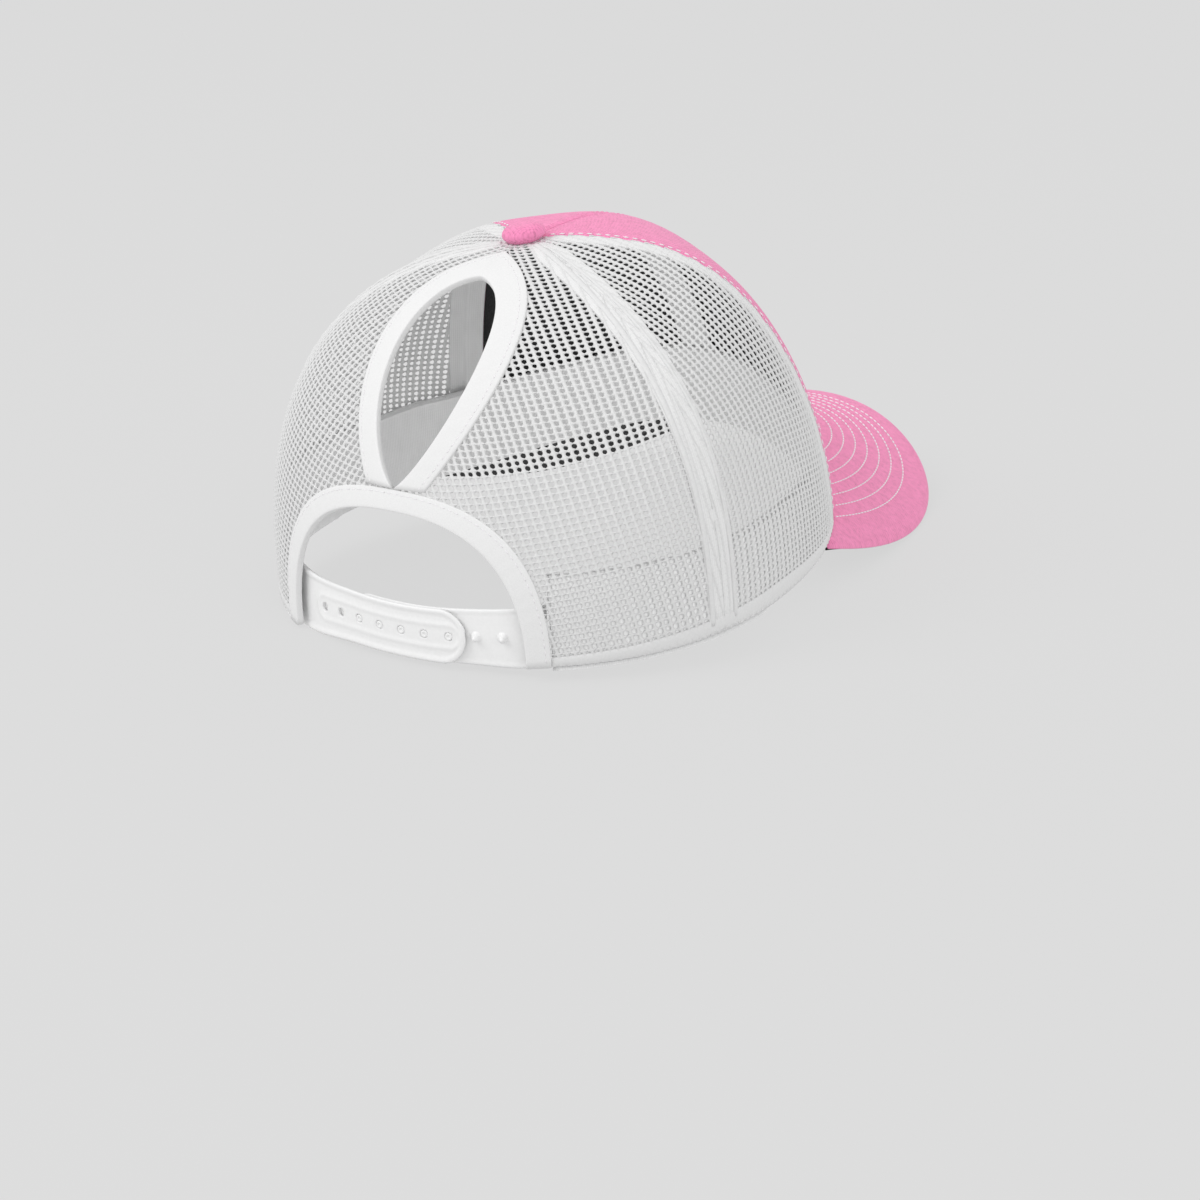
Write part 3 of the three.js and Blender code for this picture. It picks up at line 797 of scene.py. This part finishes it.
def peak_height(x, y):
    azimuth = solve(lambda value: crown_face(value, 0).x, abs(x), 0, math.pi / 2, 20)
    out = max(crown_face(azimuth, 0).y - y, 0)
    droop = PEAK_DROOP * (x / RIM_HALF_WIDTH) ** 2 * out / PEAK_LENGTH
    return rim_height(azimuth) - PEAK_SLOPE * out - droop - GAP


def stitch_groove(inset):
    nearest = clamp(round((inset - OUTER_ROW) / ROW_SPACING), 0, STITCH_ROWS - 1)
    return ROW_DEPTH * bump(inset - OUTER_ROW - nearest * ROW_SPACING, 0.8)


def peak_place(u, out, inset):
    """Plan place on the peak, out from its seam (0) to the inset outline (1)."""
    seam = crown_point(lerp(-PEAK_AZIMUTH, PEAK_AZIMUTH, u), 0, PEAK_SEAM)
    edge = peak_outline(lerp(-math.pi / 2, math.pi / 2, u), inset)
    return lerp(seam.x, edge[0], out), lerp(seam.y, edge[1], out)


def on_edge(u, roll):
    """A point of the peak's rounded edge, from its upper side (0) to its lower side (pi)."""
    x, y = peak_place(u, 1, EDGE_RADIUS * (1 - math.sin(roll)))
    return Vector((x, y, peak_height(x, y) - EDGE_RADIUS * (1 - math.cos(roll)))), (x, y)


def peak_upper():
    main = 1 - EDGE_ROWS / PEAK_ROWS

    def place(u, v):
        if v > main:
            return on_edge(u, EDGE_SEAM * (v - main) / (1 - main))
        x, y = peak_place(u, v / main, EDGE_RADIUS)
        return Vector((x, y, peak_height(x, y) - stitch_groove(inset_at(x, y)))), (x, y)

    bm = new_sheet(PEAK_COLUMNS, PEAK_ROWS, place)
    face_away(bm, BELOW_PEAK)
    add_piece("peak_cloth", bm, pink_twill, ["peak"], PEAK_CLOTH_WALL)


def peak_lower():
    main = 1 - EDGE_ROWS / LINING_ROWS

    def place(u, v):
        if v > main:
            return on_edge(u, lerp(math.pi, EDGE_SEAM, (v - main) / (1 - main)))
        x, y = peak_place(u, v / main, EDGE_RADIUS)
        groove = 0.6 * stitch_groove(inset_at(x, y))
        return Vector((x, y, peak_height(x, y) - PEAK_THICK + groove)), (x, y)

    bm = new_sheet(PEAK_COLUMNS, LINING_ROWS, place)
    face_away(bm, ABOVE_PEAK)
    add_piece("peak_lining", bm, black_cloth, ["peak_underside"], PEAK_CLOTH_WALL)


# Snap strap: an outer half with a raised edge and track and with holes, and an inner half with pegs
STRAP_MIDDLE = STRAP_HEIGHT / 2 - STRAP_BELOW_RIM
STRAP_REACH = ARCH_HALF_WIDTH + STRAP_TUCK
OUTER_TIP = FIRST_HOLE - PEG_PITCH * 2 / 3
INNER_TIP = FIRST_PEG + PEG_PITCH * (PEGS - 1) + PEG_PITCH / 2
HOLE_RADIUS = 1.42
PEG_RADIUS = 1.28
PEG_SIDES = 20
STRAP_COLUMNS = 150
STRAP_ROWS = 30
TIP_PACKING = 1.15
EDGE_RIDGE = 0.5
TRACK_RIDGE = 0.35
TRACK_HALF_WIDTH = 3.9
UNDER_DEPTH = BAND_DEPTH + STRAP_THICK + GAP


def inner_depth(across):
    return lerp(BAND_DEPTH, UNDER_DEPTH, smoothstep(across, -ARCH_HALF_WIDTH, OUTER_TIP))


def outer_depth(across):
    return BAND_DEPTH


def strap_half(name, tucked, tip, depth_at, relief_at, holes, node):
    radius = STRAP_HEIGHT / 2
    towards = math.copysign(1, tip - tucked)

    def place(u, v):
        across = lerp(tucked, tip, 1 - (1 - u) ** TIP_PACKING)
        past = max(towards * (across - tip) + radius, 0)
        up = (2 * v - 1) * math.sqrt(max(radius ** 2 - past ** 2, 0))
        return Vector((across, up, 0)), (across, up)

    bm = new_sheet(STRAP_COLUMNS, STRAP_ROWS, place)
    bmesh.ops.remove_doubles(bm, verts=bm.verts[:], dist=0.02)
    for hole in holes:
        centre = Vector((hole, 0, 0))
        inside = [f for f in bm.faces if (f.calc_center_median() - centre).length < HOLE_RADIUS]
        bmesh.ops.delete(bm, geom=inside, context="FACES")
        for vert in bm.verts:
            away = vert.co - centre
            if vert.is_boundary and away.length < HOLE_RADIUS * 1.7:
                vert.co = centre + away.normalized() * HOLE_RADIUS
    for vert in bm.verts:
        across, up = vert.co.x, vert.co.y
        past = max(towards * (across - tip) + radius, 0)
        to_edge = radius - math.hypot(past, up)
        depth = depth_at(across) - relief_at(across, up, to_edge)
        vert.co = back_point(across, STRAP_MIDDLE + up, depth)
    face_away(bm, HEAD_CENTRE)
    add_piece(name, bm, strap_plastic, [node], STRAP_THICK)


def outer_relief(across, up, to_edge):
    first, last = FIRST_HOLE, FIRST_HOLE + PEG_PITCH * (PEGS - 1)
    along = max(first - across, across - last, 0)
    from_track = abs(math.hypot(along, up) - TRACK_HALF_WIDTH)
    edge = EDGE_RIDGE * (1 - smoothstep(to_edge, 1.3, 2.2))
    rounding = -0.35 * (1 - smoothstep(to_edge, 0, 0.6))
    track = TRACK_RIDGE * bump(from_track, 0.75)
    return edge + rounding + track


def inner_relief(across, up, to_edge):
    edge = 0.45 * EDGE_RIDGE * (1 - smoothstep(to_edge, 1.0, 1.8))
    return edge - 0.3 * (1 - smoothstep(to_edge, 0, 0.6))


def turned(bm, profile, sides, place):
    """Spins a half section round its own axis, and puts it in its place."""
    before = set(bm.verts)
    verts = [bm.verts.new((x, 0, z)) for x, z in profile]
    edges = [bm.edges.new(pair) for pair in zip(verts, verts[1:])]
    bmesh.ops.spin(bm, geom=verts + edges, axis=(0, 0, 1), cent=(0, 0, 0), steps=sides,
                   angle=2 * math.pi, use_merge=True)
    made = [vert for vert in bm.verts if vert not in before]
    bmesh.ops.transform(bm, matrix=place, verts=made)


def strap_pegs():
    """Flat pegs that fill their holes, and two free ones that are pointed."""
    bm = bmesh.new()
    flush = STRAP_THICK + GAP + 0.12
    seated = [(1.9, -0.5), (1.5, 0.2), (PEG_RADIUS, 0.8), (PEG_RADIUS, flush - 0.25), (1.1, flush),
              (0.62, flush - 0.03), (0.45, flush - 0.22), (0.0, flush - 0.3)]
    free = [(2.2, -0.5), (1.8, 0.1), (1.3, 0.6), (1.0, 1.3), (0.75, 2.0), (0.4, 2.4), (0.0, 2.5)]
    climb = centre_back.climb(STRAP_MIDDLE)
    for step in range(PEGS):
        across = FIRST_PEG + PEG_PITCH * step
        foot = back_point(across, STRAP_MIDDLE, inner_depth(across))
        out = crown_out(back_azimuth(across, climb), climb)
        place = Matrix.Translation(foot) @ out.to_track_quat("Z", "Y").to_matrix().to_4x4()
        turned(bm, seated if across > FIRST_HOLE - 1 else free, PEG_SIDES, place)
    close_up(bm, FINE_MERGE)
    add_piece("strap_pegs", bm, strap_plastic, ())


# Button: a cloth dome with a puckered edge, tucked in underneath
BUTTON_COLUMNS = 64
BUTTON_ROWS = 30
TUCK_SHARE = 0.22
TUCK_IN = 2.2
TUCK_DOWN = 2.6
CLOTH_INSIDE = 0.3
PUCKERS = 7
PUCKER_DEPTH = 0.12


def button():
    foot = Matrix.Translation((0, -BUTTON_FORWARD, CROWN_HEIGHT)) @ Matrix.Rotation(TOP_LEAN, 4, "Y")
    widest = BUTTON_RADIUS - CLOTH_INSIDE

    def place(u, v):
        turn = 2 * math.pi * u
        if v < TUCK_SHARE:
            under = 1 - v / TUCK_SHARE
            out = widest - TUCK_IN * under * under
            rise = BUTTON_EDGE - TUCK_DOWN * under
        else:
            climb = (v - TUCK_SHARE) / (1 - TUCK_SHARE) * math.pi / 2
            out = widest * max(math.cos(climb), 0) ** BUTTON_ROUND
            rise = BUTTON_EDGE + (BUTTON_DOME - BUTTON_EDGE) * math.sin(climb)
        folds = PUCKER_DEPTH * math.cos(PUCKERS * turn + 0.6) * max(1 - abs(2 * v - 0.6), 0)
        flat = ((out + folds) * math.cos(turn), (out + folds) * math.sin(turn))
        return foot @ Vector((*flat, GAP + rise)), flat

    bm = new_sheet(BUTTON_COLUMNS, BUTTON_ROWS, place)
    close_up(bm, FINE_MERGE)
    add_piece("button_cloth", bm, pink_twill, ["button"])


# Stitching: small rounded stitches laid end to end along a line
class Stitching:
    def __init__(self, name, material, length, gap, width, height):
        self.name = name
        self.material = material
        self.length = length
        self.gap = gap
        self.width = width
        self.height = height
        self.bm = bmesh.new()

    def along(self, points):
        """points is a list of (place, outward direction) in millimetres."""
        travelled = [0.0]
        for (place, _), (next_place, _) in zip(points, points[1:]):
            travelled.append(travelled[-1] + (next_place - place).length)

        def at(distance):
            low = 0
            while low < len(points) - 2 and travelled[low + 1] < distance:
                low += 1
            span = max(travelled[low + 1] - travelled[low], 1e-6)
            share = clamp((distance - travelled[low]) / span, 0, 1)
            return (points[low][0].lerp(points[low + 1][0], share),
                    points[low][1].lerp(points[low + 1][1], share).normalized())

        count = int(travelled[-1] // (self.length + self.gap))
        for number in range(count):
            middle = (number + 0.5) * (self.length + self.gap)
            start, _ = at(middle - self.length / 2)
            end, _ = at(middle + self.length / 2)
            place, out = at(middle)
            forward = (end - start).normalized()
            side = out.cross(forward).normalized()
            up = forward.cross(side)
            axes = Matrix((forward, side, up)).transposed().to_4x4()
            size = Matrix.Diagonal((self.length / 2, self.width / 2, self.height / 2, 1))
            bmesh.ops.create_icosphere(self.bm, subdivisions=1, radius=1,
                                       matrix=Matrix.Translation(place) @ axes @ size)

    def finish(self):
        add_piece(self.name, self.bm, self.material, ())


def seam_line(seam, side, offset, first, last, steps=120):
    """Line beside a seam, offset round the crown towards the back."""
    points = []
    for step in range(steps + 1):
        climb = lerp(first, last, step / steps)
        azimuth = seam_azimuth(seam, climb)
        azimuth = side * (azimuth + turn_of(offset, azimuth, climb))
        points.append((crown_point(azimuth, climb), crown_out(azimuth, climb)))
    return points


def rim_forward(x):
    """How far forward the crown's rim is at a distance across."""
    azimuth = solve(lambda value: crown_face(value, 0).x, min(abs(x), RIM_HALF_WIDTH - 0.1), 0, math.pi / 2)
    return -crown_face(azimuth, 0).y


LINE_STEPS = 240
BESIDE_RIM = 0.6
ABOVE_GROOVE = 0.12
INTO_LINING = 0.1


def peak_stitches():
    upper = Stitching("peak_stitching", white_thread, length=2.3, gap=0.3, width=0.72, height=0.55)
    lower = Stitching("peak_lining_stitching", black_thread, length=2.3, gap=0.3, width=0.6, height=0.4)
    for row in range(STITCH_ROWS):
        inset = OUTER_ROW + ROW_SPACING * row
        above = []
        below = []
        for step in range(LINE_STEPS + 1):
            turn = lerp(-math.pi / 2, math.pi / 2, step / LINE_STEPS)
            x, y = peak_outline(turn, inset)
            if y > -rim_forward(x) - BESIDE_RIM:
                continue
            height = peak_height(x, y)
            above.append((Vector((x, y, height - ROW_DEPTH + ABOVE_GROOVE)), Vector((0, 0, 1))))
            below.append((Vector((x, y, height - PEAK_THICK + INTO_LINING)), Vector((0, 0, -1))))
        upper.along(above)
        lower.along(below)
    upper.finish()
    lower.finish()


def seam_stitches():
    white = Stitching("seam_stitching", white_thread, length=2.2, gap=0.8, width=0.6, height=0.5)
    pink = Stitching("front_seam_stitching", pink_thread, length=2.2, gap=0.8, width=0.45, height=0.36)
    for side, _ in SIDES:
        white.along(seam_line(FRONT_SEAM, side, offset=-1.4, first=0.02, last=0.95))
        pink.along(seam_line(CENTRE_FRONT, side, offset=2.2, first=0.03, last=0.93))
    white.finish()
    pink.finish()


BINDING_LINE_STEPS = 200
BINDING_ROW = 0.8
BINDING_ROW_DEPTH = -BINDING_OUT * 0.72


def binding_stitches():
    stitching = Stitching("binding_stitching", white_thread, length=2.0, gap=0.5, width=0.36, height=0.14)
    for outline in (arch_outline, teardrop_outline):
        points = []
        for step in range(BINDING_LINE_STEPS + 1):
            across, length = outline(step / BINDING_LINE_STEPS, BINDING_ROW)
            climb = centre_back.climb(length)
            azimuth = back_azimuth(across, climb)
            points.append((crown_point(azimuth, climb, BINDING_ROW_DEPTH), crown_out(azimuth, climb)))
        stitching.along(points)
    stitching.finish()


# panel, distance from the side seam, half width
RIDGES = (("side", -4.9, 0.7), ("back", 4.9, 1.1))
RIDGE_CLIMB = (0.004, 0.93)
RIDGE_LENGTH = 130
RIDGE_COLUMNS = 6
RIDGE_ROWS = 240
RIDGE_HEIGHT = 0.4
RIDGE_DEPTH = 0.15
RIDGE_RIPPLE = 0.2
RIDGE_RIPPLES = 160


def seam_ridges():
    """Raised rows beside the side seams, where the tapes inside are sewn on."""
    for side, word in SIDES:
        for panel, offset, width in RIDGES:
            def place(u, v, side=side, offset=offset, width=width):
                climb = lerp(*RIDGE_CLIMB, v)
                azimuth = seam_azimuth(SIDE_SEAM, climb)
                out = 2 * u - 1
                narrowed = min(1, 1.4 * (1 - climb) + 0.05)
                azimuth = azimuth + turn_of(offset * narrowed + out * width, azimuth, climb)
                ripple = 1 + RIDGE_RIPPLE * math.sin(v * RIDGE_RIPPLES)
                proud = RIDGE_HEIGHT * (1 - out * out) * ripple
                point = crown_point(side * azimuth, climb, RIDGE_DEPTH - proud)
                return point, (out * width, v * RIDGE_LENGTH)

            bm = new_sheet(RIDGE_COLUMNS, RIDGE_ROWS, place)
            face_away(bm, HEAD_CENTRE)
            add_piece(f"{panel}_ridge_{word}", bm, mesh_yarn, (), RIDGE_HEIGHT)


HEM_DEPTH = 0.55
HEM_THICK = 0.6
HEM_HIGH = 0.45
HEM_START = math.radians(50)
HEM_LENGTH = 150
HEM_COLUMNS = 12
HEM_STATIONS = 120


def rim_hem():
    """Rolled lower edge of the mesh, from the arch to the peak, on both sides."""
    legs = back_azimuth(ARCH_HALF_WIDTH + BINDING_WIDTH, 0)
    for side, word in SIDES:
        def place(u, v, side=side):
            azimuth = side * lerp(HEM_START, legs, v)
            turn = 2 * math.pi * u
            depth = HEM_DEPTH + HEM_THICK * math.cos(turn)
            climb = (HEM_HIGH + HEM_HIGH * math.sin(turn)) / CROWN_HEIGHT
            return crown_point(azimuth, climb, depth), (u * HEM_COLUMNS / 2, v * HEM_LENGTH)

        bm = new_sheet(HEM_COLUMNS, HEM_STATIONS, place)
        close_up(bm)
        add_piece(f"rim_hem_{word}", bm, mesh_yarn, ())


# Camera at the photograph's viewing angle, its place in metres and its turns in degrees
CAMERA_PLACE = (-0.50709, 0.77089, 0.30174)
CAMERA_HEADING = 214.051
CAMERA_LOOKING_DOWN = 19.205
CAMERA_ROLL = -0.708
CAMERA_LENS = 81.497
SENSOR_WIDTH = 36
CAMERA_REACH = 20


def photograph_camera():
    camera_data = bpy.data.cameras.new("camera")
    camera_data.lens = CAMERA_LENS
    camera_data.sensor_width = SENSOR_WIDTH
    camera_data.clip_end = CAMERA_REACH
    camera = bpy.data.objects.new("camera", camera_data)
    camera.location = CAMERA_PLACE
    heading = Matrix.Rotation(math.radians(CAMERA_HEADING), 3, "Z")
    tilt = Matrix.Rotation(math.radians(90 - CAMERA_LOOKING_DOWN), 3, "X")
    roll = Matrix.Rotation(math.radians(CAMERA_ROLL), 3, "Z")
    camera.rotation_euler = (heading @ tilt @ roll).to_euler()
    bpy.context.scene.collection.objects.link(camera)
    bpy.context.scene.camera = camera


# Pale floor that glows a little, and soft studio light
FLOOR_SIZE = 14
FLOOR_COLOUR = (0.08, 0.08, 0.08)
FLOOR_GLOW = 0.635
WORLD_STRENGTH = 0.82
LIT_POINT = Vector((0, 0.02, 0.06))

# name, place and size in metres, power in watts
LIGHTS = (
    ("key_light", (0.9, 1.3, 1.5), 1.2, 15),
    ("fill_light", (-1.5, 0.6, 0.7), 1.4, 5),
)


def studio():
    bm = bmesh.new()
    bmesh.ops.create_grid(bm, x_segments=2, y_segments=2, size=FLOOR_SIZE / 2)
    mesh = bpy.data.meshes.new("floor")
    bm.to_mesh(mesh)
    bm.free()
    pale = Material("light_table", FLOOR_COLOUR, 0.9)
    pale.shader.inputs["Specular IOR Level"].default_value = 0.0
    pale.shader.inputs["Emission Color"].default_value = (1, 1, 1, 1)
    pale.shader.inputs["Emission Strength"].default_value = FLOOR_GLOW
    mesh.materials.append(pale.material)
    floor = bpy.data.objects.new("floor", mesh)
    bpy.context.scene.collection.objects.link(floor)

    scene = bpy.context.scene
    scene.view_settings.view_transform = "Standard"
    world = bpy.data.worlds.new("studio")
    world.use_nodes = True
    background = world.node_tree.nodes["Background"]
    background.inputs["Color"].default_value = (1, 1, 1, 1)
    background.inputs["Strength"].default_value = WORLD_STRENGTH
    scene.world = world
    for name, place, size, power in LIGHTS:
        light_data = bpy.data.lights.new(name, "AREA")
        light_data.size = size
        light_data.energy = power
        light = bpy.data.objects.new(name, light_data)
        light.location = place
        aim = LIT_POINT - light.location
        light.rotation_euler = aim.to_track_quat("-Z", "Y").to_euler()
        scene.collection.objects.link(light)


photograph_camera()
studio()

for side, word in SIDES:
    front_panel(side, word)
    front_lining(side, word)
    mesh_panel(f"side_lattice_{word}", side, FRONT_SEAM, SIDE_SEAM, SIDE_COLUMNS, f"side_mesh_{word}")
    mesh_panel(f"back_lattice_{word}", side, SIDE_SEAM, CENTRE_BACK, BACK_COLUMNS, f"back_mesh_{word}",
               BACK_LEAN, in_opening)
    tape_piece(f"front_seam_tape_{word}", FRONT_SEAM, side, behind_front, 0, f"tape_front_{word}")
    tape_piece(f"side_seam_tape_{word}", SIDE_SEAM, side, behind_mesh, 0, f"tape_side_{word}")
above_band = FRONT_RISE + BAND_HEIGHT + GAP
centre_foot = solve(lambda climb: crown_face(0, climb).z, above_band, 0, 0.6)
tape_piece("centre_seam_tape", CENTRE_FRONT, 1, behind_lining, centre_foot, "tape_centre_front",
           CENTRE_TAPE_WALL)
sweatband()
binding_piece("arch_edge", arch_outline, ARCH_STATIONS, "arch_binding")
binding_piece("teardrop_edge", teardrop_outline, TEARDROP_STATIONS, "ponytail_binding")

peak_upper()
peak_lower()
button()

outer_holes = [FIRST_HOLE + PEG_PITCH * step for step in range(PEGS)]
strap_half("strap_outer", STRAP_REACH, OUTER_TIP, outer_depth, outer_relief, outer_holes, "strap_left")
strap_half("strap_inner", -STRAP_REACH, INNER_TIP, inner_depth, inner_relief, (), "strap_right")
strap_pegs()

peak_stitches()
seam_stitches()
binding_stitches()
seam_ridges()
rim_hem()
